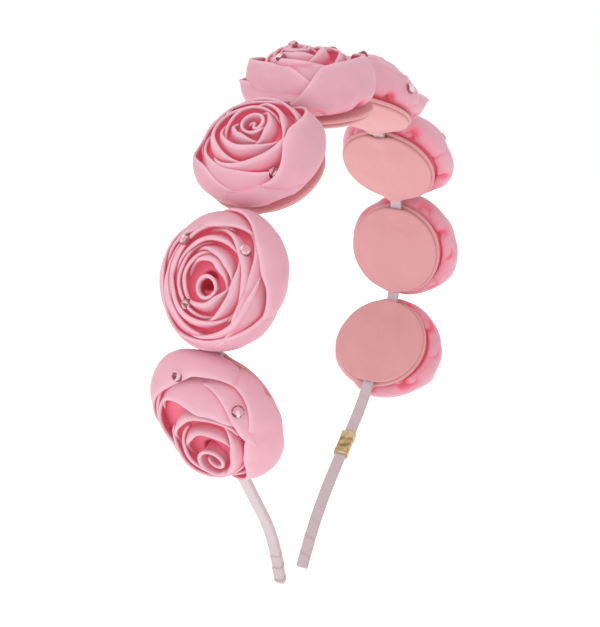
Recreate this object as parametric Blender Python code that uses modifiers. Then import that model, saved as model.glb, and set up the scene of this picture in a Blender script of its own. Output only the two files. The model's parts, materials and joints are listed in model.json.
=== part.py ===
"""Flower crown: a ribbon-wrapped sprung headband with eight rolled satin roses.

Frame: +X from ear to ear, +Y across the band, +Z up. The origin is the middle of the
band's inner face at the crown of the head. Each rose sits between two felt discs that
sandwich the band, and carries three sewn-on crystals. The sprung band opens at two
hinges on each side, which stand for its even bending.
"""
import math

import bmesh
import bpy

# Band path, in metres and degrees, one half from the crown to a tip
BEND_LENGTH = 0.005
CROWN_BEND = 33.0
UPPER_BEND = 27.0
MIDDLE_BEND = 33.0
LOWER_BEND = 42.0
LEG_BEND = 17.0
LEG_BEND_LENGTH = 0.014
LEG_LENGTH = 0.021
FLARE_BEND = 19.0
FLARE_LENGTH = 0.024
TIP_LENGTH = 0.006
BEND_STEP = 7.0

# Band section
CORE_WIDTH = 0.0024
CORE_THICKNESS = 0.0008
WRAP_CLEARANCE = 0.0002
WRAP_WALL = 0.0004
HINGE_GAP = 0.0004

# Flowers: the base disc sets the pitch, the backing disc and the rose follow it
FLOWER_COUNT = 8
BASE_RADIUS = 0.0146
DISC_GAP = 0.0028
BACKING_INSET = 0.0006
FELT_THICKNESS = 0.0010
PETAL_OVERHANG = 0.0020
SEAT_CLEARANCE = 0.0003
ROSE_HEIGHT = 0.0130
ROSE_SPREAD = 1.04
EYE_RADIUS = 0.0021
EYE_DEPTH = 0.0038
ROUND_STEPS = 24
DISC_STEPS = 32

# Crystals: girdle and table radii, and how far each part stands from the girdle
CRYSTAL_RADIUS = 0.0020
CRYSTAL_TABLE = 0.0011
CRYSTAL_CROWN = 0.0009
CRYSTAL_PAVILION = 0.0015
CRYSTAL_RISE = 0.0004
CRYSTAL_SIDES = 8
CRYSTAL_POCKET_GAP = 0.0003

# Where each flower's crystals sit: turn about the flower's axis, share of the rose's radius
CRYSTAL_SEATS = {
    1: ((20, 0.90), (150, 0.90), (310, 0.80)),
    2: ((40, 0.58), (160, 0.46), (310, 0.66)),
    3: ((55, 0.66), (220, 0.70), (350, 0.80)),
    4: ((0, 0.62), (80, 0.42), (135, 0.58)),
    5: ((10, 0.66), (185, 0.58), (250, 0.92)),
    6: ((20, 0.60), (140, 0.66), (250, 0.92)),
    7: ((35, 0.60), (150, 0.68), (270, 0.58)),
    8: ((92, 0.90), (205, 0.60), (325, 0.56)),
}

# Folded metal tag on the +X leg
TAG_MARGIN = 0.0048
TAG_LENGTH = 0.0095
TAG_CLEARANCE = 0.0003
TAG_WALL = 0.0004

# Worked out from the sizes above
FLOWER_PITCH = 2 * BASE_RADIUS + DISC_GAP
BACKING_RADIUS = BASE_RADIUS - BACKING_INSET
ROSE_RADIUS = BASE_RADIUS + PETAL_OVERHANG
WRAP_WIDTH = CORE_WIDTH + 2 * (WRAP_CLEARANCE + WRAP_WALL)
WRAP_THICKNESS = CORE_THICKNESS + 2 * (WRAP_CLEARANCE + WRAP_WALL)
BAND_RISE = WRAP_THICKNESS / 2
STRAIGHT = FLOWER_PITCH - BEND_LENGTH
HALF_PATH = (
    (BEND_LENGTH / 2, CROWN_BEND / 2), (STRAIGHT, 0.0),
    (BEND_LENGTH, UPPER_BEND), (STRAIGHT, 0.0),
    (BEND_LENGTH, MIDDLE_BEND), (STRAIGHT, 0.0),
    (BEND_LENGTH, LOWER_BEND), (STRAIGHT, 0.0),
    (LEG_BEND_LENGTH, LEG_BEND), (LEG_LENGTH, 0.0),
    (FLARE_LENGTH, -FLARE_BEND), (TIP_LENGTH, 0.0),
)
HALF_LENGTH = sum(length for length, turn in HALF_PATH)
LEG_START = sum(length for length, turn in HALF_PATH[:9])
TAG_PLACE = LEG_START + TAG_MARGIN + TAG_LENGTH / 2
UPPER_HINGE = FLOWER_PITCH
LOWER_HINGE = 2 * FLOWER_PITCH
FELT_OFFSET = WRAP_THICKNESS / 2 + WRAP_CLEARANCE + FELT_THICKNESS / 2
ROSE_SEAT = FELT_OFFSET + FELT_THICKNESS / 2 + SEAT_CLEARANCE
CUTTER_OVERRUN = 0.001
WELD_DISTANCE = 0.00001

# The rose's outer side from the rim of its eye to its seat: shares of radius and height
ROSE_SIDE = (
    (0.16, 0.93), (0.33, 1.00), (0.58, 0.91), (0.80, 0.73),
    (0.95, 0.53), (1.00, 0.38), (0.94, 0.17), (0.78, 0.00),
)


def clear_scene():
    for old in list(bpy.data.objects):
        bpy.data.objects.remove(old, do_unlink=True)


def new_collection(name):
    collection = bpy.data.collections.new(name)
    bpy.context.scene.collection.children.link(collection)
    return collection


def new_material(name, color, roughness, metallic=0.0):
    material = bpy.data.materials.new(name)
    material.use_nodes = True
    shader = material.node_tree.nodes["Principled BSDF"]
    shader.inputs["Base Color"].default_value = (*color, 1.0)
    shader.inputs["Roughness"].default_value = roughness
    shader.inputs["Metallic"].default_value = metallic
    return material


def add_object(name, mesh, collection, parent=None, material=None):
    item = bpy.data.objects.new(name, mesh)
    collection.objects.link(item)
    item.parent = parent
    if material:
        mesh.materials.append(material)
    return item


def add_cutter(name, mesh, parent=None):
    cutter = add_object(name, mesh, cutters, parent)
    cutter.hide_render = True
    cutter.display_type = "WIRE"
    return cutter


def cut(target, cutter):
    boolean = target.modifiers.new("cut_" + cutter.name, "BOOLEAN")
    boolean.operation = "DIFFERENCE"
    boolean.solver = "EXACT"
    boolean.object = cutter


def band_frame(place):
    """Centreline point (x, z) and turn in radians, at a signed length from the crown."""
    x, z, turn, left = 0.0, BAND_RISE, 0.0, abs(place)
    for length, degrees in HALF_PATH:
        run = min(left, length)
        bend = math.radians(degrees) * run / length
        if bend:
            radius = run / bend
            x += radius * (math.sin(turn + bend) - math.sin(turn))
            z += radius * (math.cos(turn + bend) - math.cos(turn))
        else:
            x += run * math.cos(turn)
            z -= run * math.sin(turn)
        turn += bend
        left -= run
    side = math.copysign(1.0, place)
    return x * side, z, turn * side


def band_stations(start, end):
    """Lengths from the crown where a strip needs a point: its ends and along each bend."""
    marks = {0.0}
    reach = 0.0
    for length, degrees in HALF_PATH:
        steps = max(1, math.ceil(abs(degrees) / BEND_STEP))
        for step in range(steps + 1):
            marks.add(reach + length * step / steps)
            marks.add(-reach - length * step / steps)
        reach += length
    inner = [mark for mark in sorted(marks) if start + WELD_DISTANCE < mark < end - WELD_DISTANCE]
    return [start] + inner + [end]


def strip_mesh(name, start, end, width, thickness):
    """A flat strip that follows the band: its side outline, filled and extruded to its width."""
    outer, inner = [], []
    for place in band_stations(start, end):
        x, z, turn = band_frame(place)
        across = thickness / 2
        outer.append((x + across * math.sin(turn), z + across * math.cos(turn)))
        inner.append((x - across * math.sin(turn), z - across * math.cos(turn)))
    outline = outer + inner[::-1]
    curve = bpy.data.curves.new(name, "CURVE")
    curve.dimensions = "2D"
    curve.fill_mode = "BOTH"
    curve.extrude = width / 2
    spline = curve.splines.new("POLY")
    spline.points.add(len(outline) - 1)
    for point, (x, z) in zip(spline.points, outline):
        point.co = (x, z, 0.0, 1.0)
    spline.use_cyclic_u = True
    guide = bpy.data.objects.new(name, curve)
    bpy.context.scene.collection.objects.link(guide)
    evaluated = guide.evaluated_get(bpy.context.evaluated_depsgraph_get())
    mesh = bpy.data.meshes.new_from_object(evaluated)
    bpy.data.objects.remove(guide)
    shape = bmesh.new()
    shape.from_mesh(mesh)
    bmesh.ops.remove_doubles(shape, verts=shape.verts, dist=WELD_DISTANCE)
    bmesh.ops.recalc_face_normals(shape, faces=shape.faces)
    shape.to_mesh(mesh)
    shape.free()
    return mesh


def add_strip(name, start, end, width, thickness, parent, material=None):
    """A strip on the band's path, hung from its body's empty without being moved."""
    mesh = strip_mesh(name, start, end, width, thickness)
    if material:
        item = add_object(name, mesh, crown, parent, material)
    else:
        item = add_cutter(name, mesh, parent)
    item.rotation_euler.x = math.pi / 2
    if parent:
        item.location = -parent.location
    return item


def add_band(name, start, end, parent):
    """One stretch of the sprung core and the ribbon sleeve wound round it."""
    core_start, core_end, bore_start, bore_end = start, end, start, end
    tip_inset = WRAP_WALL + WRAP_CLEARANCE
    if start <= -HALF_LENGTH:
        core_start += tip_inset
        bore_start += WRAP_WALL
    else:
        bore_start -= CUTTER_OVERRUN
    if end >= HALF_LENGTH:
        core_end -= tip_inset
        bore_end -= WRAP_WALL
    else:
        bore_end += CUTTER_OVERRUN
    add_strip("band_" + name, core_start, core_end, CORE_WIDTH, CORE_THICKNESS, parent, steel)
    sleeve = add_strip("ribbon_" + name, start, end, WRAP_WIDTH, WRAP_THICKNESS, parent, ribbon)
    bore = add_strip("bore_" + name, bore_start, bore_end, CORE_WIDTH + 2 * WRAP_CLEARANCE,
                     CORE_THICKNESS + 2 * WRAP_CLEARANCE, parent)
    cut(sleeve, bore)


def add_empty(name, place, parent=None, turned=False):
    """An empty on the band; a flower's empty is turned so its Z points away from the head."""
    x, z, turn = band_frame(place)
    empty = bpy.data.objects.new(name, None)
    empty.empty_display_size = 0.005
    crown.objects.link(empty)
    empty.location = (x, 0.0, z)
    if turned:
        empty.rotation_euler.y = turn
    if parent:
        empty.parent = parent
        empty.location.x -= parent.location.x
        empty.location.z -= parent.location.z
    return empty


def profile_mesh(name, profile):
    """The wire of a profile of (radius, height) that runs from top to bottom."""
    mesh = bpy.data.meshes.new(name)
    edges = [(index, index + 1) for index in range(len(profile) - 1)]
    mesh.from_pydata([(radius, 0.0, height) for radius, height in profile], edges, [])
    return mesh


def turn_profile(item, steps):
    screw = item.modifiers.new("turn", "SCREW")
    screw.steps = steps
    screw.render_steps = steps
    screw.use_merge_vertices = True
    screw.merge_threshold = WELD_DISTANCE
    screw.use_smooth_shade = False


def rose_profile():
    """Down the rose's eye, over its rim and down its outer side to the seat."""
    side = [(share * ROSE_RADIUS, ROSE_SEAT + rise * ROSE_HEIGHT) for share, rise in ROSE_SIDE]
    eye_floor = side[0][1] - EYE_DEPTH
    return [(0.0, eye_floor), (EYE_RADIUS * 0.8, eye_floor)] + side + [(0.0, ROSE_SEAT)]


def rose_surface(share):
    """Radius, height and outward slope of the rose's side at a share of its radius."""
    upper = ROSE_SIDE[1:6]
    for (r0, h0), (r1, h1) in zip(upper, upper[1:]):
        if r0 <= share <= r1:
            part = (share - r0) / (r1 - r0)
            radius = share * ROSE_RADIUS
            height = ROSE_SEAT + (h0 + (h1 - h0) * part) * ROSE_HEIGHT
            slope = math.atan2((h0 - h1) * ROSE_HEIGHT, (r1 - r0) * ROSE_RADIUS)
            return radius, height, slope
    return ROSE_RADIUS, ROSE_SEAT + ROSE_SIDE[5][1] * ROSE_HEIGHT, math.pi / 2


def add_disc(name, radius, height, parent):
    bpy.ops.mesh.primitive_cylinder_add(vertices=DISC_STEPS, radius=radius, depth=FELT_THICKNESS)
    disc = bpy.context.object
    disc.name = name
    disc.data.materials.append(felt)
    for collection in list(disc.users_collection):
        collection.objects.unlink(disc)
    crown.objects.link(disc)
    disc.parent = parent
    disc.location = (0.0, 0.0, height)
    return disc


def add_crystals(number, rose, seat_empty):
    """Three cut crystals, each set along the petal's slope in a pocket of the rose."""
    gem = [(0.0, CRYSTAL_CROWN), (CRYSTAL_TABLE, CRYSTAL_CROWN), (CRYSTAL_RADIUS, 0.0),
           (0.0, -CRYSTAL_PAVILION)]
    pocket_radius = CRYSTAL_RADIUS + CRYSTAL_POCKET_GAP
    pocket_floor = -CRYSTAL_PAVILION - CRYSTAL_POCKET_GAP
    pocket_mouth = CRYSTAL_CROWN + CUTTER_OVERRUN
    pocket = [(0.0, pocket_mouth), (pocket_radius, pocket_mouth), (pocket_radius, pocket_floor),
              (0.0, pocket_floor)]
    for letter, (azimuth, share) in zip("abc", CRYSTAL_SEATS[number]):
        radius, height, slope = rose_surface(share)
        radius += CRYSTAL_RISE * math.sin(slope)
        height += CRYSTAL_RISE * math.cos(slope)
        around = math.radians(azimuth)
        name = f"crystal_{number}{letter}"
        stone = add_object(name, profile_mesh(name, gem), crown, seat_empty, crystal)
        cutter = add_cutter("pocket_" + name, profile_mesh(name, pocket), seat_empty)
        for item in (stone, cutter):
            turn_profile(item, CRYSTAL_SIDES)
            item.location = (radius * math.cos(around), radius * math.sin(around) * ROSE_SPREAD,
                             height)
            item.rotation_euler = (0.0, slope, around)
        cut(rose, cutter)


def add_flower(number, parent):
    """A rolled rose between its base disc, the band and the backing disc, with crystals."""
    place = (number - (FLOWER_COUNT + 1) / 2) * FLOWER_PITCH
    seat_empty = add_empty(f"flower_{number}_seat", place, parent, turned=True)
    add_disc(f"backing_disc_{number}", BACKING_RADIUS, -FELT_OFFSET, seat_empty)
    add_disc(f"base_disc_{number}", BASE_RADIUS, FELT_OFFSET, seat_empty)
    name = f"rose_{number}"
    rose = add_object(name, profile_mesh(name, rose_profile()), crown, seat_empty, satin)
    turn_profile(rose, ROUND_STEPS)
    rose.scale.y = ROSE_SPREAD
    add_crystals(number, rose, seat_empty)


def add_tag(parent):
    """A thin metal tag folded round the ribbon on the +X leg."""
    x, z, turn = band_frame(TAG_PLACE)
    inner = (TAG_LENGTH + 2 * CUTTER_OVERRUN, WRAP_WIDTH + 2 * TAG_CLEARANCE,
             WRAP_THICKNESS + 2 * TAG_CLEARANCE)
    outer = (TAG_LENGTH, inner[1] + 2 * TAG_WALL, inner[2] + 2 * TAG_WALL)
    for name, size in (("tag", outer), ("tag_bore", inner)):
        box = bmesh.new()
        bmesh.ops.create_cube(box, size=1.0)
        bmesh.ops.scale(box, vec=size, verts=box.verts)
        mesh = bpy.data.meshes.new(name)
        box.to_mesh(mesh)
        box.free()
        if name == "tag":
            item = add_object(name, mesh, crown, parent, gold)
        else:
            item = add_cutter(name, mesh, parent)
        item.location = (x - parent.location.x, 0.0, z - parent.location.z)
        item.rotation_euler.y = turn
    cut(bpy.data.objects["tag"], bpy.data.objects["tag_bore"])


clear_scene()
crown = new_collection("flower_crown")
cutters = new_collection("cutters")
satin = new_material("pink_satin", (0.76, 0.33, 0.41), 0.45)
felt = new_material("salmon_felt", (0.80, 0.42, 0.42), 0.95)
ribbon = new_material("pale_ribbon", (0.68, 0.56, 0.60), 0.40)
steel = new_material("spring_steel", (0.60, 0.61, 0.63), 0.35, 1.0)
gold = new_material("gold_tag", (0.72, 0.52, 0.26), 0.30, 1.0)
crystal = new_material("rose_crystal", (0.55, 0.22, 0.28), 0.05)

half_gap = HINGE_GAP / 2
add_band("crown", -UPPER_HINGE + half_gap, UPPER_HINGE - half_gap, None)
bodies = {4: None, 5: None}
for side, flowers in ((-1, (3, 2, 1)), (1, (6, 7, 8))):
    word = "left" if side < 0 else "right"
    upper = add_empty(f"{word}_upper_hinge", side * UPPER_HINGE)
    lower = add_empty(f"{word}_lower_hinge", side * LOWER_HINGE)
    for label, body, near, far in (("upper", upper, UPPER_HINGE + half_gap, LOWER_HINGE - half_gap),
                                   ("lower", lower, LOWER_HINGE + half_gap, HALF_LENGTH)):
        start, end = sorted((side * near, side * far))
        add_band(f"{word}_{label}", start, end, body)
    bodies.update(zip(flowers, (upper, lower, lower)))
for number in range(1, FLOWER_COUNT + 1):
    add_flower(number, bodies[number])
add_tag(bodies[FLOWER_COUNT])
bpy.context.view_layer.update()
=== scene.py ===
"""Flower crown: rolled satin roses between felt discs on a ribbon-wrapped sprung band."""

import json
import math
from collections import namedtuple
from functools import cache

import bpy
import numpy as np
from bpy.props import FloatProperty, FloatVectorProperty, IntProperty, PointerProperty
from mathutils import Matrix, Vector
from mathutils.bvhtree import BVHTree


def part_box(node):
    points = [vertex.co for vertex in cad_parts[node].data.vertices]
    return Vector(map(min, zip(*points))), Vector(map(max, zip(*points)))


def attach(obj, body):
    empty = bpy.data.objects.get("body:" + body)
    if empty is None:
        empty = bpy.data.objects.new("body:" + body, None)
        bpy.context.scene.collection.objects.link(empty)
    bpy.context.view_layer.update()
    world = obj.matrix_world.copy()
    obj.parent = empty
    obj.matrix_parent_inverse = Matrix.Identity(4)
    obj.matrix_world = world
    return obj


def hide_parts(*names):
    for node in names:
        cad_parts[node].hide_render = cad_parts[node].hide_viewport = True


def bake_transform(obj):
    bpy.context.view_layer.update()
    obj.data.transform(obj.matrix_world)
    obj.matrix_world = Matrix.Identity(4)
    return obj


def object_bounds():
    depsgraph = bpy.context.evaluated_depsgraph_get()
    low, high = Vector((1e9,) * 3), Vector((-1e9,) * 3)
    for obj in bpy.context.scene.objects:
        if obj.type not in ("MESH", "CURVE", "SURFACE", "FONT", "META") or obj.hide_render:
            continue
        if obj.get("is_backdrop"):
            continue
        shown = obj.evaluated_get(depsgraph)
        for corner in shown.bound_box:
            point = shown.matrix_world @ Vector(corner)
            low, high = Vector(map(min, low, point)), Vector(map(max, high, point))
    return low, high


bl_info = {
    "name": "Flower Crown",
    "version": (1, 0, 0),
    "blender": (4, 5, 0),
    "location": "View3D > Sidebar > Flower Crown",
    "description": "Dresses the crown's frame with satin roses, felt, ribbon, crystals and a tag",
    "category": "Add Mesh",
}

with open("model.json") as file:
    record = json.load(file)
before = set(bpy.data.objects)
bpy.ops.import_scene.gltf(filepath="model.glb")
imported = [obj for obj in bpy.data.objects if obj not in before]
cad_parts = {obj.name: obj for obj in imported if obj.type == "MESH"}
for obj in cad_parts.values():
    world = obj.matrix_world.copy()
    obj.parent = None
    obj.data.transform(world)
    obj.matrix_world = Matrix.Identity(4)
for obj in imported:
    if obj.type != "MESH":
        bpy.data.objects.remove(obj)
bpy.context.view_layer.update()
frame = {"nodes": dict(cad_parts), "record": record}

MM = 0.001
FLOWERS = range(1, 9)
BODY_OF = {node: body for body, nodes in frame["record"]["behaviour"]["bodies"].items()
           for node in nodes}


# ---------------------------------------------------------------- the frame's own places

def node_points(node):
    """All the corners of a CAD node, without repeats."""
    corners = np.array([vertex.co for vertex in frame["nodes"][node].data.vertices], float)
    return np.unique(corners.round(7), axis=0)


def node_centre(node):
    low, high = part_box(node)
    return (low + high) / 2


def flower_seat(number):
    """The flower's own axes: X along the band, Y across it, Z away from the head, from the band."""
    backing = Vector(node_points(f"backing_disc_{number}").mean(axis=0))
    base = Vector(node_points(f"base_disc_{number}").mean(axis=0))
    z_axis = (base - backing).normalized()
    y_axis = Vector((0.0, 1.0, 0.0))
    x_axis = y_axis.cross(z_axis).normalized()
    turn = Matrix((x_axis, y_axis, z_axis)).transposed().to_4x4()
    return Matrix.Translation((base + backing) / 2) @ turn


# Half of the band, from the crown's middle to a tip: stretches of (millimetres, degrees of bend).
HALF_PATH = ((2.5, 16.5), (27, 0), (5, 27), (27, 0), (5, 33), (27, 0), (5, 42), (27, 0),
             (14, 17), (21, 0), (24, -19), (6, 0))
HALF_LENGTH = sum(length for length, _ in HALF_PATH) * MM
PITCH = 32.0 * MM
# Half the wrapped band's thickness, which is also how high its centreline runs at the crown's middle.
BAND_RISE = 1.0 * MM


def band_frame(place):
    """The band's centreline at a distance along it from the crown's middle: x, z and turn."""
    x, z, turn, left = 0.0, BAND_RISE, 0.0, abs(place)
    for length, degrees in HALF_PATH:
        run = min(left, length * MM)
        bend = math.radians(degrees) * run / (length * MM)
        if bend:
            radius = run / bend
            x += radius * (math.sin(turn + bend) - math.sin(turn))
            z += radius * (math.cos(turn + bend) - math.cos(turn))
        else:
            x += run * math.cos(turn)
            z -= run * math.sin(turn)
        turn += bend
        left -= run
    side = math.copysign(1.0, place)
    return x * side, z, turn * side


def band_point(place):
    x, z, _ = band_frame(place)
    return (x, 0.0, z)


def on_band(places, across, out):
    """Points at distances along the band, moved across it and out from the head."""
    x, z, bend = np.array([band_frame(place) for place in places]).T
    return np.stack([x + np.sin(bend) * out, across, z + np.cos(bend) * out], axis=1)


# ---------------------------------------------------------------- settings

def length_setting(name, description, millimetres):
    return FloatProperty(name=name, description=description, default=millimetres * MM, unit="LENGTH",
                         precision=5)


def color_setting(name, description, color):
    return FloatVectorProperty(name=name, description=description, default=color, size=3,
                               subtype="COLOR")


class CrownRoseSettings(bpy.types.PropertyGroup):
    petals: IntProperty(name="Petals", description="Inner folds of a full rose", default=12)
    height: length_setting("Height", "Top of the heart above the band", 15.0)
    radius: length_setting("Radius", "Widest reach of the outer petals", 16.7)
    fold: length_setting("Fold", "Half the thickness of a folded edge", 0.44)
    wall: length_setting("Wall", "Half the thickness of the doubled strip", 0.30)
    satin: color_setting("Satin", "Colour of the petals", (0.70, 0.345, 0.415))
    # The hem colour is a painted highlight along the folded edges, the colour between the petals is
    # painted shade, and the colour deep in the heart is painted shadow.
    hem: color_setting("Hem", "Paler colour along the folded edges", (0.77, 0.44, 0.515))
    hollow_shade: color_setting("Hollow", "Colour between the petals", (0.60, 0.12, 0.18))
    shadow: color_setting("Shadow", "Colour deep in the heart", (0.16, 0.002, 0.004))


class CrownFeltSettings(bpy.types.PropertyGroup):
    backing: length_setting("Backing", "Radius of the disc against the head", 14.1)
    base: length_setting("Base", "Radius of the disc under the petals", 14.9)
    thickness: length_setting("Thickness", "Felt thickness", 1.0)
    color: color_setting("Felt", "Colour of the felt", (0.62, 0.288, 0.298))


class CrownRibbonSettings(bpy.types.PropertyGroup):
    width: length_setting("Width", "Width of the wrapped band", 3.55)
    thickness: length_setting("Thickness", "Thickness of the wrapped band", 1.75)
    turn_length: length_setting("Wrap", "Length of band to one turn of ribbon", 5.0)
    step: length_setting("Step", "Thickness of one ribbon layer at its edge", 0.16)
    color: color_setting("Ribbon", "Colour of the ribbon", (0.585, 0.475, 0.507))


class CrownTagSettings(bpy.types.PropertyGroup):
    length: length_setting("Length", "Length of foil along the band", 8.0)
    wall: length_setting("Wall", "Thickness of the folded foil", 0.26)
    crumple: length_setting("Crumple", "Depth of the creases", 0.17)
    color: color_setting("Foil", "Colour of the foil", (0.56, 0.40, 0.20))


class CrownCrystalSettings(bpy.types.PropertyGroup):
    radius: length_setting("Radius", "Radius of a crystal", 1.4)
    sides: IntProperty(name="Sides", description="Facets round the crystal", default=8)


# ---------------------------------------------------------------- mesh helpers

def select_only(*items):
    bpy.ops.object.select_all(action="DESELECT")
    for item in items:
        item.select_set(True)
    bpy.context.view_layer.objects.active = items[0]


def points_of(item):
    co = np.empty(len(item.data.vertices) * 3)
    item.data.vertices.foreach_get("co", co)
    return co.reshape(-1, 3)


def set_points(item, points):
    item.data.vertices.foreach_set("co", np.asarray(points, np.float32).ravel())
    item.data.update()


def place_in(item, matrix):
    item.data.transform(matrix)
    item.data.update()


def grid(name, along, around):
    """A flat grid primitive and its two running values, each from 0 to 1."""
    bpy.ops.object.select_all(action="DESELECT")
    bpy.ops.mesh.primitive_grid_add(x_subdivisions=along, y_subdivisions=around, size=2.0)
    item = bpy.context.object
    item.name = name
    flat = points_of(item)
    return item, (flat[:, 0] + 1) / 2, (flat[:, 1] + 1) / 2


def close_tube(item, weld=2e-6):
    """Welds a rolled grid's seam, fills its two open ends and turns its faces outwards."""
    select_only(item)
    bpy.ops.object.mode_set(mode="EDIT")
    bpy.ops.mesh.select_all(action="SELECT")
    bpy.ops.mesh.remove_doubles(threshold=weld)
    bpy.ops.mesh.fill_holes(sides=0)
    bpy.ops.mesh.select_all(action="SELECT")
    bpy.ops.mesh.normals_make_consistent(inside=False)
    bpy.ops.object.mode_set(mode="OBJECT")
    bpy.ops.object.shade_smooth()


def subdivide(item, levels=1):
    select_only(item)
    modifier = item.modifiers.new("soften", "SUBSURF")
    modifier.levels = levels
    modifier.render_levels = levels
    bpy.ops.object.modifier_apply(modifier="soften")


def join(name, items):
    select_only(*items)
    bpy.ops.object.join()
    whole = bpy.context.object
    whole.name = name
    whole.data.name = name
    return whole


def point_values(item, name, values):
    attribute = item.data.attributes.new(name, "FLOAT", "POINT")
    attribute.data.foreach_set("value", np.asarray(values, np.float32))


# One straight ray and six slanting ones feel for cloth round a point, from a little way off it.
SLANTING_RAYS = 6
RAY_ASIDE = 0.77
RAY_UP = 0.64
RAY_LIFT = 0.05
CROWDING_SOFTENING = 2


def soften(item, values, passes):
    """Spreads the values of an item's points along its edges."""
    edges = np.empty(len(item.data.edges) * 2, int)
    item.data.edges.foreach_get("vertices", edges)
    first, second = edges[0::2], edges[1::2]
    for _ in range(passes):
        total, count = values.copy(), np.ones(len(values))
        for here, there in ((first, second), (second, first)):
            np.add.at(total, here, values[there])
            np.add.at(count, here, 1)
        values = total / count
    return values


def crowding(item, reach):
    """How far the cloth round each point shuts it in, from 0 to 1, felt out with a few short rays."""
    tree = BVHTree.FromObject(item, bpy.context.evaluated_depsgraph_get())
    fan = [(RAY_ASIDE * math.cos(turn), RAY_ASIDE * math.sin(turn), RAY_UP)
           for turn in np.linspace(0, 2 * math.pi, SLANTING_RAYS, endpoint=False)] + [(0.0, 0.0, 1.0)]
    shut = np.zeros(len(item.data.vertices))
    for index, vertex in enumerate(item.data.vertices):
        up = vertex.normal
        side = up.orthogonal().normalized()
        ahead = up.cross(side)
        start = vertex.co + up * RAY_LIFT
        for x, y, z in fan:
            distance = tree.ray_cast(start, side * x + ahead * y + up * z, reach)[3]
            if distance is not None:
                shut[index] += 1 - 0.5 * distance / reach
    return soften(item, shut / len(fan), CROWDING_SOFTENING)


def smooth(low, high, value):
    """Rises from 0 to 1 without a kink as the value goes from low to high."""
    part = np.clip((value - low) / (high - low), 0.0, 1.0)
    return part * part * (3 - 2 * part)


def bowed(wave, power):
    """A wave between -1 and 1, squared up by a power under 1 or pinched by one over 1."""
    return np.sign(wave) * np.abs(wave) ** power


def ripples(phase, *values):
    """Slow, uneven waves between -1 and 1, made of a few sines of the given values."""
    total = 0.0
    for step, value in enumerate(values):
        total = total + np.sin(value + phase * (1.7 + step)) + 0.5 * np.sin(2.3 * value - phase * 2.9)
    return total / (1.5 * len(values))


# ---------------------------------------------------------------- shader groups and materials

def node(tree, kind, inputs=None, **settings):
    made = tree.nodes.new(kind)
    for key, value in settings.items():
        setattr(made, key, value)
    for key, value in (inputs or {}).items():
        made.inputs[key].default_value = value
    return made


def calculate(tree, operation, first, second):
    """The result of a Math node, whose two inputs are each a socket or a number."""
    made = node(tree, "ShaderNodeMath", operation=operation)
    for place, value in enumerate((first, second)):
        if isinstance(value, bpy.types.NodeSocket):
            tree.links.new(value, made.inputs[place])
        else:
            made.inputs[place].default_value = value
    return made.outputs[0]


def color_ramp(tree, value, stops, interpolation="LINEAR"):
    """The colour that a ramp gives a value, from two or more (position, colour) stops in order."""
    ramp = node(tree, "ShaderNodeValToRGB")
    ramp.color_ramp.interpolation = interpolation
    elements = ramp.color_ramp.elements
    for element, (position, color) in zip(elements, (stops[0], stops[-1])):
        element.position = position
        element.color = (*color, 1.0)
    for position, color in stops[1:-1]:
        elements.new(position).color = (*color, 1.0)
    tree.links.new(value, ramp.inputs["Fac"])
    return ramp.outputs["Color"]


def tinted(color, factors):
    """A colour with each of its parts multiplied, up to 1."""
    return tuple(min(1.0, part * factor) for part, factor in zip(color, factors))


def surface_group(name, scale_label, scale, change):
    """A node group that takes a colour, the scale of a pattern and how far the colour changes."""
    group = bpy.data.node_groups.new(name, "ShaderNodeTree")
    for label, kind, value in (("Color", "NodeSocketColor", (1, 1, 1, 1)),
                               (scale_label, "NodeSocketFloat", scale),
                               ("Change", "NodeSocketFloat", change)):
        group.interface.new_socket(label, in_out="INPUT", socket_type=kind).default_value = value
    group.interface.new_socket("Color", in_out="OUTPUT", socket_type="NodeSocketColor")
    group.interface.new_socket("Height", in_out="OUTPUT", socket_type="NodeSocketFloat")
    place = node(group, "ShaderNodeTexCoord").outputs["Object"]
    return group, group.nodes.new("NodeGroupInput"), place


def finish_group(group, source, height, tone):
    """Puts out the height, and the colour made a little lighter or darker by a tone round 0.5."""
    result = group.nodes.new("NodeGroupOutput")
    change = calculate(group, "MULTIPLY", calculate(group, "SUBTRACT", tone, 0.5),
                       source.outputs["Change"])
    tint = node(group, "ShaderNodeVectorMath", operation="SCALE")
    group.links.new(source.outputs["Color"], tint.inputs[0])
    group.links.new(calculate(group, "ADD", change, 1.0), tint.inputs["Scale"])
    group.links.new(tint.outputs[0], result.inputs["Color"])
    group.links.new(height, result.inputs["Height"])
    return group


def halfway(tree, first, second):
    """The mean of two sockets."""
    return calculate(tree, "MULTIPLY", calculate(tree, "ADD", first, second), 0.5)


def weave_group():
    """Fine crossing threads with slow unevenness: a height and a gentle colour change."""
    group, source, place = surface_group("Fine weave", "Threads", 4000.0, 0.06)
    waves = [node(group, "ShaderNodeTexWave", {"Distortion": 1.5, "Detail": 1.0}, bands_direction=axis)
             for axis in "XZ"]
    for wave in waves:
        group.links.new(place, wave.inputs["Vector"])
        group.links.new(source.outputs["Threads"], wave.inputs["Scale"])
    cloud = node(group, "ShaderNodeTexNoise", {"Scale": 180.0, "Detail": 3.0})
    group.links.new(place, cloud.inputs["Vector"])
    height = halfway(group, *[wave.outputs["Fac"] for wave in waves])
    return finish_group(group, source, height, cloud.outputs["Fac"])


def fuzz_group():
    """Soft clumps over fine specks: a height and a gentle colour change for felt and pressed metal."""
    group, source, place = surface_group("Fine fuzz", "Fibres", 1400.0, 0.1)
    fine = node(group, "ShaderNodeTexNoise", {"Detail": 5.0, "Roughness": 0.65, "Distortion": 0.6})
    broad = node(group, "ShaderNodeTexNoise", {"Scale": 160.0, "Detail": 2.0})
    for noise in (fine, broad):
        group.links.new(place, noise.inputs["Vector"])
    group.links.new(source.outputs["Fibres"], fine.inputs["Scale"])
    height = halfway(group, fine.outputs["Fac"], broad.outputs["Fac"])
    return finish_group(group, source, height, height)


@cache
def shared_groups():
    return {"weave": weave_group(), "fuzz": fuzz_group()}


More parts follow.
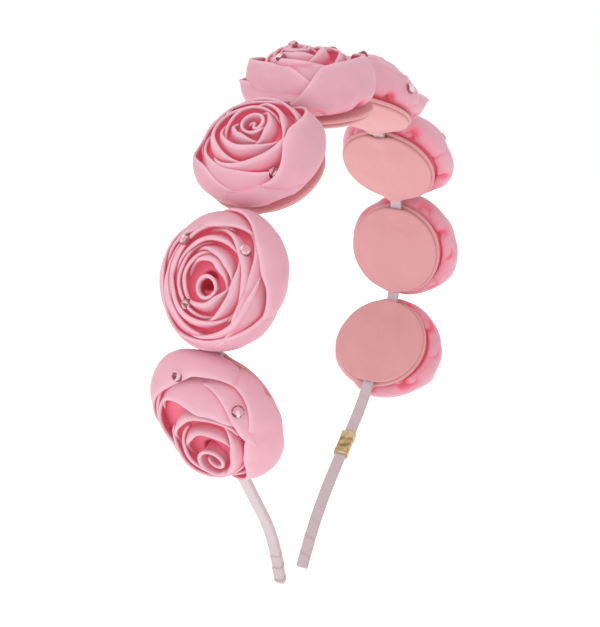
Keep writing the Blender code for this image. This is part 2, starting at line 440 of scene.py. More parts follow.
def new_material(name, roughness, metallic=0.0, **sockets):
    material = bpy.data.materials.new(name)
    material.use_nodes = True
    shader = material.node_tree.nodes["Principled BSDF"]
    shader.inputs["Roughness"].default_value = roughness
    shader.inputs["Metallic"].default_value = metallic
    for label, value in sockets.items():
        shader.inputs[label.replace("_", " ")].default_value = value
    return material, material.node_tree, shader


def use_group(tree, kind, inputs):
    """A shared node group placed in a material with its own values."""
    placed = tree.nodes.new("ShaderNodeGroup")
    placed.node_tree = shared_groups()[kind]
    for label, value in inputs.items():
        placed.inputs[label].default_value = value
    return placed


def add_bump(tree, shader, height, distance, strength=1.0):
    bump = node(tree, "ShaderNodeBump", {"Strength": strength, "Distance": distance})
    tree.links.new(height, bump.inputs["Height"])
    tree.links.new(bump.outputs["Normal"], shader.inputs["Normal"])


# Where along the satin's painted shade its own colour and the painted shade of the hollows lie, between 0
# and 1, and the painted glow in the hollows and deep in the heart, which stands in for light bounced
# between the folds.
SATIN_AT = 0.10
HOLLOW_AT = 0.50
BLACK = (0.0, 0.0, 0.0)
HOLLOW_GLOW = (0.66, 0.11, 0.17)
SHADOW_GLOW = (0.40, 0.0, 0.004)


def satin_material(name, look):
    """Woven satin with painted shade that grows redder between its folds, a painted highlight along their
    edges, and a painted glow in the hollows for light bounced between them.
    """
    material, tree, shader = new_material(name, 0.42, Sheen_Weight=0.25, Sheen_Roughness=0.35,
                                          Sheen_Tint=(1.0, 0.66, 0.73, 1.0), Specular_IOR_Level=0.35,
                                          Emission_Strength=0.34)
    weave = use_group(tree, "weave", {"Threads": 3600.0, "Change": 0.22})
    depth = node(tree, "ShaderNodeAttribute", attribute_name="depth").outputs["Fac"]
    share = calculate(tree, "MULTIPLY", depth, 1 / DEEPEST_SHADE)
    # The colour runs from a painted highlight on the folded edges, through the satin, to painted shade in
    # the hollows and painted shadow deep in the heart.
    color = color_ramp(tree, share, ((0.0, look.hem), (SATIN_AT, look.satin), (HOLLOW_AT, look.hollow_shade),
                                     (1.0, look.shadow)))
    # A painted glow in the hollows and deep in the heart, for light bounced between the folds.
    glow = color_ramp(tree, share, ((0.0, BLACK), (SATIN_AT, BLACK), (HOLLOW_AT, HOLLOW_GLOW),
                                    (1.0, SHADOW_GLOW)))
    tree.links.new(color, weave.inputs["Color"])
    tree.links.new(weave.outputs["Color"], shader.inputs["Base Color"])
    tree.links.new(glow, shader.inputs["Emission Color"])
    add_bump(tree, shader, weave.outputs["Height"], 0.02 * MM, 0.4)
    return material


def fuzzy_material(name, color, fibres, change, distance, strength, roughness, **sockets):
    """A surface of one colour, broken up by the shared fuzz in its colour and its height."""
    material, tree, shader = new_material(name, roughness, **sockets)
    fuzz = use_group(tree, "fuzz", {"Fibres": fibres, "Change": change, "Color": (*color, 1.0)})
    tree.links.new(fuzz.outputs["Color"], shader.inputs["Base Color"])
    add_bump(tree, shader, fuzz.outputs["Height"], distance, strength)
    return material, tree, shader, fuzz


def felt_material(name, look):
    """Matt felt with a faint painted glow in its own colour, which lifts its shade."""
    material, tree, shader, fuzz = fuzzy_material(
        name, look.color, 1400.0, 0.16, 0.1 * MM, 0.7, 0.88, Sheen_Weight=0.35, Sheen_Roughness=0.6,
        Sheen_Tint=(1.0, 0.80, 0.80, 1.0), Emission_Strength=0.10)
    # A faint painted glow in the felt's own colour, which lifts its shade.
    tree.links.new(fuzz.outputs["Color"], shader.inputs["Emission Color"])
    return material


# How much darker the ribbon is in the painted shade at its laps and along its sides.
LAP_SHADE_TINT = (0.62, 0.5, 0.52)


def ribbon_material(name, look):
    """Woven ribbon with painted shade along the edges of its turns, and darker along the band's sides."""
    material, tree, shader = new_material(name, 0.38, Sheen_Weight=0.2, Sheen_Roughness=0.4)
    weave = use_group(tree, "weave", {"Threads": 3000.0, "Change": 0.12})
    lap_shade = node(tree, "ShaderNodeAttribute", attribute_name="lap_shade")
    mix = node(tree, "ShaderNodeMix", data_type="RGBA")
    mix.inputs["A"].default_value = (*look.color, 1.0)
    mix.inputs["B"].default_value = (*tinted(look.color, LAP_SHADE_TINT), 1.0)
    tree.links.new(lap_shade.outputs["Fac"], mix.inputs["Factor"])
    tree.links.new(mix.outputs["Result"], weave.inputs["Color"])
    tree.links.new(weave.outputs["Color"], shader.inputs["Base Color"])
    add_bump(tree, shader, weave.outputs["Height"], 0.03 * MM, 0.5)
    return material


# How much darker the painted shade in the foil's creases is, and how much paler the painted highlight on
# its ridges and ends.
FOIL_CREASE_SHADE = (0.45, 0.38, 0.35)
FOIL_RIDGE_HIGHLIGHT = (1.35, 1.5, 2.0)


def foil_material(name, look):
    """Foil with painted shade in its creases and painted highlights on its ridges and ends."""
    material, tree, shader = new_material(name, 0.34, metallic=0.85)
    fold = node(tree, "ShaderNodeAttribute", attribute_name="fold")
    fuzz = use_group(tree, "fuzz", {"Fibres": 700.0, "Change": 0.5})
    color = color_ramp(tree, fold.outputs["Fac"], ((0.0, tinted(look.color, FOIL_CREASE_SHADE)), (0.5, look.color),
                                                   (1.0, tinted(look.color, FOIL_RIDGE_HIGHLIGHT))))
    tree.links.new(color, fuzz.inputs["Color"])
    tree.links.new(fuzz.outputs["Color"], shader.inputs["Base Color"])
    rough = node(tree, "ShaderNodeMapRange", {"To Min": 0.22, "To Max": 0.50})
    tree.links.new(fuzz.outputs["Height"], rough.inputs["Value"])
    tree.links.new(rough.outputs["Result"], shader.inputs["Roughness"])
    add_bump(tree, shader, fuzz.outputs["Height"], 0.2 * MM, 0.6)
    return material


# The patches that a cut stone shows: pink, pale painted glints, and dark painted reflections.
CRYSTAL_GLINTS = ((0.0, (0.84, 0.42, 0.49)), (0.30, (1.0, 0.90, 0.91)), (0.48, (0.45, 0.08, 0.13)),
                   (0.66, (0.95, 0.70, 0.74)), (0.84, (0.22, 0.02, 0.04)))


def crystal_material(name):
    """Half-clear cut stone, broken into patches of painted glint and painted dark reflection."""
    material, tree, shader = new_material(name, 0.05, Transmission_Weight=0.30, IOR=1.45)
    place = node(tree, "ShaderNodeTexCoord")
    cells = node(tree, "ShaderNodeTexVoronoi", {"Scale": 900.0})
    split = node(tree, "ShaderNodeSeparateColor")
    tree.links.new(place.outputs["Object"], cells.inputs["Vector"])
    tree.links.new(cells.outputs["Color"], split.inputs["Color"])
    color = color_ramp(tree, split.outputs["Red"], CRYSTAL_GLINTS, "CONSTANT")
    tree.links.new(color, shader.inputs["Base Color"])
    return material


def setting_material(name):
    return fuzzy_material(name, (0.42, 0.10, 0.14), 1500.0, 0.5, 0.05 * MM, 0.4, 0.35, metallic=0.35)[0]


def steel_material(name):
    return fuzzy_material(name, (0.55, 0.55, 0.56), 900.0, 0.3, 0.02 * MM, 0.3, 0.3, metallic=1.0)[0]


# ---------------------------------------------------------------- felt discs

DISC_GRID = (96, 48)
# Where across the grid the flat face ends, and the share of the grid that rounds the cut edge.
RIM_START = 0.44
RIM_SHARE = 0.12
# How far the felt lies off the band, sinks towards its partner beside it, and takes its print.
FELT_GAP = 0.2 * MM
BACKING_SAG = 1.30 * MM
BASE_SAG = 1.06 * MM
BAND_PRINT = 0.16 * MM
FELT_WARP = 0.14 * MM
FELT_DENTS = 0.07 * MM
# How far from the band the felt is held up, and where the band's edge prints through it.
BAND_HOLD = 2.6 * MM
BAND_EDGE = 1.6 * MM
BAND_EDGE_WIDTH = 0.6 * MM


def make_disc(name, number, radius, thickness, backing, material):
    """A cut felt disc on one side of the band, its edge pressed towards its partner."""
    item, u, v = grid(name, *DISC_GRID)
    angle = u * 2 * math.pi
    rim = np.clip((v - RIM_START) / RIM_SHARE, 0, 1)
    turn = rim * math.pi - math.pi / 2
    flat = radius - thickness * 0.5
    inward = np.clip(np.minimum(v, 1 - v) / RIM_START, 0, 1)
    reach = np.where((rim > 0) & (rim < 1), flat + np.cos(turn) * thickness * 0.5, flat * inward)
    share = reach / radius
    phase = number * 1.9 + (0.7 if backing else 0.0)
    uneven = 1 + 0.014 * ripples(phase, 2.2 * np.cos(angle), 2.6 * np.sin(angle)) * share
    x, y = reach * np.cos(angle) * uneven, reach * np.sin(angle) * uneven
    along_band = np.exp(-(y / BAND_HOLD) ** 2)
    pinch = smooth(0.40, 0.98, share) * (1 - along_band * smooth(0.5, 0.9, share))
    lift = BAND_RISE + FELT_GAP + thickness / 2 - (BACKING_SAG if backing else BASE_SAG) * pinch
    level = np.sin(turn) * 0.5 * thickness + FELT_DENTS * ripples(phase, x * 420, y * 380 + x * 200)
    if backing:
        edge_print = np.exp(-((np.abs(y) - BAND_EDGE) / BAND_EDGE_WIDTH) ** 2) * (0.5 + 0.5 * along_band)
        warp = FELT_WARP * share ** 2 * np.cos(2 * angle + phase) * (share > 0.3)
        z = level - lift - BAND_PRINT * edge_print * (1 - 0.5 * share) + warp
    else:
        z = level + lift
    set_points(item, np.stack([x, y, z], axis=1))
    close_tube(item)
    place_in(item, flower_seat(number))
    item.data.materials.append(material)
    kind = "backing_disc" if backing else "base_disc"
    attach(item, BODY_OF[f"{kind}_{number}"])
    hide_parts(f"{kind}_{number}")
    return item


class CROWN_OT_felt(bpy.types.Operator):
    """Cuts the felt discs and presses them together round the band"""
    bl_idname = "crown.felt"
    bl_label = "Felt Discs"

    def execute(self, context):
        look = context.scene.crown_felt
        material = felt_material("Salmon felt", look)
        for number in FLOWERS:
            make_disc(f"felt_back_{number}", number, look.backing, look.thickness, True, material)
            make_disc(f"felt_base_{number}", number, look.base, look.thickness, False, material)
        return {"FINISHED"}


# ---------------------------------------------------------------- ribbon round the band

# Points round the ribbon, their distance along it, and how square its section is (0 is a box).
RIBBON_AROUND = 36
RIBBON_STEP = 0.45 * MM
RIBBON_CORNERS = 0.42
# The winding shows fully near the tips, less on the right leg, and only this much elsewhere.
WOUND_TIGHT = 0.16
WOUND_RIGHT = 0.4
# How far from its end each kind of tip starts to close, and its width at the very end.
TIP_CLOSING = {"rounded": (1.7 * MM, 0.15), "squared": (0.35 * MM, 0.86)}
TIP_THICKNESS = 0.30
TIP_OF = {"left": "rounded", "right": "squared"}
# Half the length of ribbon that bends at a flex hinge.
FLEX_REACH = 2.5 * MM
# Thread ends on the left leg: distance from the tip, side of the ribbon, length and curl.
STRAY_THREADS = ((13.5 * MM, -1, 1.3 * MM, 0.9), (9.4 * MM, 1, 0.9 * MM, 0.6),
                 (5.0 * MM, -1, 0.8 * MM, 1.0))


def make_ribbon(name, start, end, look, material, tip=None):
    """A wound length of ribbon from one distance along the band to another."""
    item, u, v = grid(name, max(24, int(abs(end - start) / RIBBON_STEP)), RIBBON_AROUND)
    place = start + (end - start) * u
    turn = v * 2 * math.pi
    half_t = look.thickness / 2
    corner = bowed(np.cos(turn), RIBBON_CORNERS)
    to_end = HALF_LENGTH - np.abs(place)
    near_tip = (1 - smooth(9 * MM, 17 * MM, to_end)) * (WOUND_RIGHT if start > 0 else 1.0)
    loose = WOUND_TIGHT + (1 - WOUND_TIGHT) * near_tip
    wound = (np.abs(place) / look.turn_length + v + 0.04 * np.sin(place * 260)) % 1.0
    layer = (look.step * (0.5 - wound) + look.step * 0.5 * np.exp(-(wound / 0.06) ** 2)) * loose
    slack = 0.035 * MM * ripples(0.7, place * 310, 2 * np.cos(turn), 2 * np.sin(turn))
    across = corner * (look.width / 2) + (layer * 0.7 + slack) * corner
    out = bowed(np.sin(turn), RIBBON_CORNERS * 1.5) * half_t * (1 + (layer + slack) / half_t)
    if tip:
        closing, narrow = TIP_CLOSING[tip]
        left = np.clip(np.abs(to_end) / closing, 0.0, 1.0)
        closed = np.sqrt(1 - (1 - left) ** 2) if tip == "rounded" else left ** 0.5
        across = across * (narrow + (1 - narrow) * closed)
        out = out * (TIP_THICKNESS + (1 - TIP_THICKNESS) * closed)
    set_points(item, on_band(place, across, out))
    # Painted shade along the edge of each turn, where one lap of ribbon lies over the next, and darker
    # along the band's two sides.
    shade = (np.exp(-(wound / 0.05) ** 2) + 0.7 * np.exp(-((1 - wound) / 0.05) ** 2)) * loose
    edge = 0.35 * smooth(0.80, 1.0, np.abs(corner))
    point_values(item, "lap_shade", np.clip(shade + edge, 0, 1))
    close_tube(item)
    item.data.materials.append(material)
    return item


def make_thread(place, side, length, curl, look):
    """A stray thread end that lifts off the ribbon's edge."""
    item, u, v = grid("thread", 12, 6)
    turn = v * 2 * math.pi
    x, z, bend = band_frame(place)
    origin = np.array([x, side * look.width * 0.48, z])
    tangent = np.array([math.cos(bend), 0.0, -math.sin(bend)]) * math.copysign(1, place)
    out = np.array([math.sin(bend), 0.0, math.cos(bend)])
    aside = np.array([0.0, side, 0.0])
    line = (origin + np.outer(u, aside * length) + np.outer(u ** 2, tangent * length * curl)
            + np.outer(np.sin(u * 3), out * length * 0.2))
    radius = 0.07 * MM * (1 - 0.6 * u)
    ring = np.outer(np.cos(turn) * radius, out) + np.outer(np.sin(turn) * radius, tangent)
    set_points(item, line + ring)
    point_values(item, "lap_shade", np.zeros(len(u)))
    close_tube(item, weld=1e-7)
    return item


class CROWN_OT_ribbon(bpy.types.Operator):
    """Winds the ribbon along the crown, in lengths that meet under the discs, and down both legs"""
    bl_idname = "crown.ribbon"
    bl_label = "Ribbon"

    def execute(self, context):
        look = context.scene.crown_ribbon
        material = ribbon_material("Mauve ribbon", look)
        half = PITCH / 2
        crown = make_ribbon("ribbon_top", -half, half, look, material)
        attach(crown, "crown")
        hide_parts("ribbon_crown")
        for side, sign in (("left", -1.0), ("right", 1.0)):
            joints = (("crown", f"{side}_upper", PITCH), (f"{side}_upper", f"{side}_lower", 2 * PITCH))
            for index, (first, second, middle) in enumerate(joints, start=1):
                piece = make_ribbon(f"ribbon_{side}_{index}", sign * (middle - half),
                                    sign * (middle + half), look, material)
                band_point(sign * (middle - FLEX_REACH))
                band_point(sign * (middle + FLEX_REACH))
                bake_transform(piece)
                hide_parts(f"ribbon_{side}_upper")
            leg = make_ribbon(f"ribbon_{side}_leg", sign * (2.5 * PITCH), sign * HALF_LENGTH, look,
                              material, TIP_OF[side])
            if side == "left":
                threads = [make_thread(sign * (HALF_LENGTH - back), edge, length, curl, look)
                           for back, edge, length, curl in STRAY_THREADS]
                leg = join(leg.name, [leg] + threads)
            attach(leg, f"{side}_lower")
            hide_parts(f"ribbon_{side}_lower")
        return {"FINISHED"}


# ---------------------------------------------------------------- foil tag

def creases(points, random, scale, count):
    """Sharp folds like pressed foil: triangle waves across the points in a few directions."""
    total = 0.0
    for _ in range(count):
        direction = random.normal(size=3)
        direction /= np.linalg.norm(direction)
        wave = points @ direction / (scale * random.uniform(0.6, 1.6)) + random.uniform(0, 1)
        total = total + np.abs((wave % 1.0) - 0.5) * 4 - 1
    return total / count ** 0.5 / 2


TAG_GRID = (112, 64)
TAG_HALF_WIDTH = 1.80 * MM
TAG_HALF_THICKNESS = 1.02 * MM
# What one more thickness of foil adds, where it laps over itself and where its two ends fold over.
TAG_LAP = 0.16 * MM
TAG_TEETH = 0.55 * MM
CREASE_LENGTH = 1.7 * MM
CREASE_COUNT = 9
LEG_START = 0.120


def leg_place(point):
    """How far along the band, on the right leg, its centreline comes nearest a point."""
    return min(np.linspace(LEG_START, HALF_LENGTH, 400),
               key=lambda place: (Vector(band_point(place)) - point).length)


def make_tag(look, random):
    """Foil pressed round the band: a flattened ring with a wall, creased, with a ragged end."""
    item, u, v = grid("foil_tag", *TAG_GRID)
    turn = u * 2 * math.pi
    loop = v * 2 * math.pi
    lengthwise = np.clip(np.sin(loop) * 1.25, -1, 1)
    ragged = 1 + 0.11 * ripples(2.1, 3.1 * np.cos(turn), 4.3 * np.sin(turn)) * np.abs(lengthwise)
    teeth = TAG_TEETH * np.abs(((turn * 4 / math.pi) % 1.0) - 0.5) * (lengthwise < -0.5)
    along = lengthwise * look.length / 2 * ragged - teeth
    across = bowed(np.cos(turn), 0.30) * TAG_HALF_WIDTH
    out = bowed(np.sin(turn), 0.45) * TAG_HALF_THICKNESS
    folds = creases(np.stack([along, across, out], axis=1), random, CREASE_LENGTH, CREASE_COUNT)
    flap = TAG_LAP * smooth(0.30, 0.36, np.sin(turn + 0.9))
    hem = TAG_LAP * smooth(0.50, 0.58, np.abs(lengthwise))
    thick = np.where(np.cos(loop) > 0, look.wall + folds * look.crumple + flap + hem, 0.0)
    across = across + bowed(np.cos(turn), 1.5) * thick
    out = out + bowed(np.sin(turn), 0.8) * thick
    set_points(item, on_band(leg_place(Vector(node_centre("tag"))) + along, across, out))
    # Painted shade in the creases, painted highlights on the ridges, and a paler painted highlight on both
    # ends.
    end_highlight = 0.40 * smooth(0.50, 0.62, np.abs(lengthwise))
    point_values(item, "fold", np.clip(folds * 0.55 + 0.35 + end_highlight, 0, 1))
    close_tube(item)
    bpy.ops.object.shade_smooth_by_angle(angle=math.radians(14))
    return item


class CROWN_OT_tag(bpy.types.Operator):
    """Presses the crumpled gold foil round the band"""
    bl_idname = "crown.tag"
    bl_label = "Foil Tag"

    def execute(self, context):
        look = context.scene.crown_tag
        item = make_tag(look, np.random.RandomState(7))
        item.data.materials.append(foil_material("Gold foil", look))
        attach(item, BODY_OF["tag"])
        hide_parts("tag")
        return {"FINISHED"}


# ---------------------------------------------------------------- crystals

# The rings of a cut stone from its flat top to its point: radius and height as shares of the stone's
# radius, and how far the ring is turned, in facets.
GEM_RINGS = np.array(((0.0, 0.72, 0.0), (0.50, 0.72, 0.0), (0.82, 0.52, 0.5), (1.0, 0.22, 0.0),
                      (0.92, 0.02, 0.0), (0.45, -0.42, 0.5), (0.0, -0.60, 0.0)))
CUP_BEADS = 16
CUP_WALL = 0.13
# In millimetres: how deep a stone sits in the petal, and how far to each side the petal is felt.
GEM_SINK = 0.62
GEM_FEEL = 0.9
RAY_START = 0.03


def make_stone(radius, sides):
    """One faceted stone, standing on the origin."""
    bpy.ops.object.select_all(action="DESELECT")
    bpy.ops.mesh.primitive_uv_sphere_add(segments=sides, ring_count=len(GEM_RINGS) - 1, radius=1.0)
    stone = bpy.context.object
    points = points_of(stone)
    ring = np.rint(np.arccos(np.clip(points[:, 2], -1, 1)) / (math.pi / 6)).astype(int)
    reach, level, facets = GEM_RINGS[ring].T
    angle = np.arctan2(points[:, 1], points[:, 0]) + facets * 2 * math.pi / sides
    reach, level = reach * radius, level * radius + 0.5 * radius
    set_points(stone, np.stack([reach * np.cos(angle), reach * np.sin(angle), level], axis=1))
    select_only(stone)
    bpy.ops.object.mode_set(mode="EDIT")
    bpy.ops.mesh.select_all(action="SELECT")
    bpy.ops.mesh.quads_convert_to_tris(quad_method="SHORTEST_DIAGONAL")
    bpy.ops.mesh.normals_make_consistent(inside=False)
    bpy.ops.object.mode_set(mode="OBJECT")
    bpy.ops.object.shade_flat()
    return stone


def make_cup(radius):
    """The beaded ring that holds a stone."""
    cup, u, v = grid("cup", 48, 24)
    turn, loop = u * 2 * math.pi, v * 2 * math.pi
    bead = 1 + 0.10 * np.cos(turn * CUP_BEADS) * (np.sin(loop) > 0.3)
    reach = radius * (0.95 + 0.05 * np.sin(loop)) + CUP_WALL * radius * np.cos(loop) * bead
    level = radius * (0.22 + 0.36 * np.sin(loop) * bead)
    set_points(cup, np.stack([reach * np.cos(turn), reach * np.sin(turn), level], axis=1))
    close_tube(cup)
    return cup


class CROWN_OT_crystals(bpy.types.Operator):
    """Sets three crystals on the petals of each rose"""
    bl_idname = "crown.crystals"
    bl_label = "Crystals"

    def execute(self, context):
        look = context.scene.crown_crystals
        stone, cup = make_stone(look.radius, look.sides), make_cup(look.radius)
        stone.data.materials.append(crystal_material("Pink crystal"))
        cup.data.materials.append(setting_material("Setting"))
        for number in FLOWERS:
            rose = bpy.data.objects[f"rose_{number}_satin"]
            names = [f"crystal_{number}{letter}" for letter in "abc"]
            placed = []
            for index, name in enumerate(names):
                placed += set_gem((stone, cup), rose, flower_seat(number), name, index * 1.1 + number)
            crystals = join(f"rose_{number}_crystals", placed)
            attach(crystals, BODY_OF[names[0]])
            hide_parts(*names)
        select_only(stone, cup)
        bpy.ops.object.delete()
        return {"FINISHED"}


def set_gem(parts, rose, seat, crystal, spin):
    """Copies the stone and its cup to where a crystal's line from above meets the petals."""
    to_seat = seat.inverted()
    centre = to_seat @ Vector(node_centre(crystal))
    down = seat.to_3x3() @ Vector((0, 0, -1))
    heights, normals = [], []
    for dx, dy in ((0, 0), (GEM_FEEL, 0), (-GEM_FEEL, 0), (0, GEM_FEEL), (0, -GEM_FEEL)):
        start = seat @ Vector((centre.x + dx * MM, centre.y + dy * MM, RAY_START))
        found, place, normal, _ = rose.ray_cast(start, down)
        if found:
            heights.append((to_seat @ place).z)
            normals.append(normal)
    if not heights:
        raise RuntimeError(f"no petal under {crystal}")
    level = sorted(heights)[len(heights) // 2]
    dome = Vector((centre.x, centre.y, 9 * MM)).normalized()
    up = (seat.to_3x3() @ dome + 0.7 * sum(normals, Vector()) / len(normals)).normalized()
    turn = up.to_track_quat("Z", "Y").to_matrix().to_4x4() @ Matrix.Rotation(spin, 4, "Z")
    matrix = Matrix.Translation(seat @ Vector((centre.x, centre.y, level)) - up * GEM_SINK * MM) @ turn
    copies = []
    for part in parts:
        copy = part.copy()
        copy.data = part.data.copy()
        bpy.context.collection.objects.link(copy)
        copy.data.transform(matrix)
        copies.append(copy)
    return copies


# ---------------------------------------------------------------- roses, worked out in millimetres

# Steps up each side of a fold's section and over its edge, and the height of the roses' underside.
SECTION_SIDE = 12
SECTION_RIM = 6
FLOOR = 2.35
# The folded edge: how far below it the cloth dips, how deep, and how much painted shade the cloth takes
# from there, which leaves a painted highlight along the edge.
HEM_BELOW = 1.5
HEM_DIP = 0.10
HEM_SHADE = 0.2
# Slow waves in the cloth, tight ones where it is pulled, and the share of a fold where its ends thin.
CLOTH_WAVE = 0.20
PULL_WAVE = 0.06
END_SHARE = 0.06
# The painted shade that colours the satin: its largest value, and its value in the pleats round the foot,
# where it darkens the notches.
DEEPEST_SHADE = 2.0
PLEAT_SHADE = 1.15
# How far the rays feel for crowding cloth, and the most painted shade that crowding adds.
CROWDING_REACH = 2.6
CROWDING_SHADE = 0.75
# How far each kind of fold runs from its edge to its foot, and its steps along its path.
HEART_LENGTH, PETAL_LENGTH, SHELL_LENGTH = 5.5, 6.5, 14.0
HEART_STEPS, PETAL_STEPS, SHELL_STEPS = 90, 36, 44
PLEATS = 1.6
SPIRAL_TURN = 127
WELL_DEPTH = 5.0
BODY_BELOW = 2.6
ROSE_WELD = 1e-4


def section_loop():
    """One turn round a fold's section: height share, side from -1 to 1, and how far over the edge."""
    inner = [(share, -1.0, None) for share in np.linspace(0.0, 1.0, SECTION_SIDE)]
    rim = [(1.0, 0.0, angle) for angle in np.linspace(-90, 90, SECTION_RIM + 1)[1:-1]]
    outer = [(share, 1.0, None) for share in np.linspace(1.0, 0.0, SECTION_SIDE)]
    loop = [(0.0, 0.0, None)] + inner + rim + outer + [(0.0, 0.0, None)]
    heights = np.array([step[0] for step in loop])
    sides = np.array([step[1] if step[2] is None else math.sin(math.radians(step[2])) for step in loop])
    crests = np.array([0.0 if step[2] is None else math.cos(math.radians(step[2])) for step in loop])
    return heights, sides, crests


LOOP_HEIGHT, LOOP_SIDE, LOOP_CREST = section_loop()


def curve_at(points, share):
    """The place, in radius and height, and the direction at a share of a cubic curve."""
    p0, p1, p2, p3 = points
    rest = 1 - share
    place = [rest ** 3 * a + 3 * rest ** 2 * share * b + 3 * rest * share ** 2 * c + share ** 3 * d
             for a, b, c, d in zip(p0, p1, p2, p3)]
    slope = [3 * rest ** 2 * (b - a) + 6 * rest * share * (c - b) + 3 * share ** 2 * (d - c)
             for a, b, c, d in zip(p0, p1, p2, p3)]
    pace = np.sqrt(slope[0] ** 2 + slope[1] ** 2) + 1e-9
    return place[0], place[1], slope[0] / pace, slope[1] / pace


def make_fold(name, along, path, carrier, top, look, lip, phase, shade, length, slant=0.0, pleat=0.0):
    """A folded strip: all along its path, its section climbs the carrier, turns over and returns."""
    item, u, v = grid(name, along, len(LOOP_HEIGHT) - 1)
    step = np.rint(v * (len(LOOP_HEIGHT) - 1)).astype(int)
    height, side, crest = LOOP_HEIGHT[step], LOOP_SIDE[step], LOOP_CREST[step]
    share = height * top(u)
    radius, level, dr, dh = curve_at(carrier(u), share)
    below = (1 - height) * length
    ends = np.clip(np.minimum(u, 1 - u) / END_SHARE, 0.0, 1.0) ** 0.5
    wall, fold = look.wall / MM, look.fold / MM
    half = (wall + (fold - wall) * (1 - smooth(0.2, 1.1, below))) * (0.25 + 0.75 * ends)
    x0, y0, angle = path(u)
    angle = angle + slant * (1 - share)
    wave = CLOTH_WAVE * ripples(phase, u * 8.0, height * 2.5 + u * 4.0) * (0.4 + height)
    hem = -HEM_DIP * np.exp(-((below - HEM_BELOW) / 0.45) ** 2) * (side > 0)
    pull = PULL_WAVE * np.sin(angle * 7 + height * 6 + phase) * smooth(0.0, 0.6, height) * (pleat > 0)
    fall = np.sin(angle * 8 + phase + 1.5 * ripples(phase, angle * 2))
    gather = pleat * (1 - smooth(0.05, 0.42, share)) * smooth(0.35, 1.0, fall)
    across = side * (half + hem) + lip * height ** 4 + wave + pull - gather
    radius = radius + dh * across + dr * crest * half
    level = level - dr * across + dh * crest * half
    set_points(item, np.stack([x0 + radius * np.cos(angle), y0 + radius * np.sin(angle), level], axis=1))
    # Painted shade: on the inner side it deepens below the edge, on the outer side further down, the
    # notches of the pleats take more, and a paler painted highlight is left along the folded edge.
    near, far, most = shade
    inside = (side <= 0) & (crest == 0)
    inner_shade = most * smooth(near, far, below)
    outer_shade = most * (0.8 * smooth(7.0, 18.0, below) if pleat else 0.7 * smooth(0.5, 3.4, below))
    hem_shade = HEM_SHADE * smooth(0.1, 1.7, below)
    depth = np.where(inside, inner_shade, outer_shade) * (1 - hem_shade) + hem_shade + PLEAT_SHADE * gather
    point_values(item, "depth", np.clip(depth, 0.0, PLEAT_SHADE if pleat else DEEPEST_SHADE))
    close_tube(item, weld=ROSE_WELD)
    return item


def polar(turn, radius):
    return np.stack([radius * np.cos(turn), radius * np.sin(turn)], axis=1)


def heart_path(kind):
    """The plan of the rolled heart, as a smooth line of points."""
    if kind == "hole":
        turn = np.linspace(0.4, 0.4 + 2 * math.pi * 1.25, 80)
        points = polar(turn, np.linspace(1.9, 2.35, 80))
    elif kind == "comma":
        turn = np.linspace(0.0, 2 * math.pi * 1.4, 90)
        points = polar(turn, 1.7 + 2.3 * (turn / turn[-1]) ** 1.2)
    elif kind == "double":
        split = np.array([(-1.1, -0.4), (-0.8, 0.6), (0.2, 0.7), (0.4, -0.2), (1.0, -1.2), (2.1, -1.4)])
        turn = np.linspace(-0.40, -0.40 + 2 * math.pi * 1.15, 60)
        points = np.concatenate([split, polar(turn, np.linspace(2.5, 3.0, 60))])
    else:
        turn = np.linspace(0.0, 2 * math.pi * 2.7, 130)
        points = polar(turn, 0.7 + 2.9 * turn / turn[-1] + 0.22 * np.sin(turn * 5.3))
    run = np.concatenate([[0], np.cumsum(np.linalg.norm(np.diff(points, axis=0), axis=1))])
    even = np.linspace(0, run[-1], 200)
    line = np.stack([np.interp(even, run, points[:, k]) for k in range(2)], axis=1)
    for _ in range(6):
        line[1:-1] = (line[:-2] + 2 * line[1:-1] + line[2:]) / 4
    return line


def make_heart(kind, look, centre, top_height, phase):
    """The rolled middle of a rose, a fold that stands nearly upright along its plan."""
    turn = phase * 1.7
    line = heart_path(kind) @ np.array([[math.cos(turn), math.sin(turn)],
                                        [-math.sin(turn), math.cos(turn)]])
    ahead = np.gradient(line, axis=0)
    places = np.linspace(0, 1, len(line))

    def path(u):
        x, y = np.interp(u, places, line[:, 0]), np.interp(u, places, line[:, 1])
        angle = np.arctan2(np.interp(u, places, -ahead[:, 0]), np.interp(u, places, ahead[:, 1]))
        return x + centre[0], y + centre[1], angle

    def carrier(u):
        rim = top_height - 0.9 * (1 - smooth(0.0, 0.35, u)) - 0.35 * np.sin(u * 7 + phase)
        foot = top_height - 5.5
        return ((0.0, foot), (0.0, foot + 2.0), (-0.1, rim - 1.5), (0.12, rim))

    def top(u):
        return 1 - 0.35 * smooth(0.88, 1.0, u)

    # The open heart takes deep painted shadow inside it, the others lighter painted shade.
    shade = (0.3, 1.7, 2.0) if kind == "hole" else (0.5, 3.0, 1.2)
    return make_fold("heart", HEART_STEPS, path, carrier, top, look, lip=0.05, phase=phase,
                     shade=shade, length=HEART_LENGTH)


# A fold inside a rose: where it faces and how far round it goes, in degrees, the radius and height of
# its rim, how much lower it starts and ends, and how far its middle is pulled open.
Petal = namedtuple("Petal", "azimuth span rim_r rim_h early late flare")


def arc_path(fold, centre):
    """The plan of a fold that goes round a centre."""
    azimuth, span = math.radians(fold.azimuth), math.radians(fold.span)
    return lambda u: (centre[0], centre[1], azimuth + span * (u - 0.5))


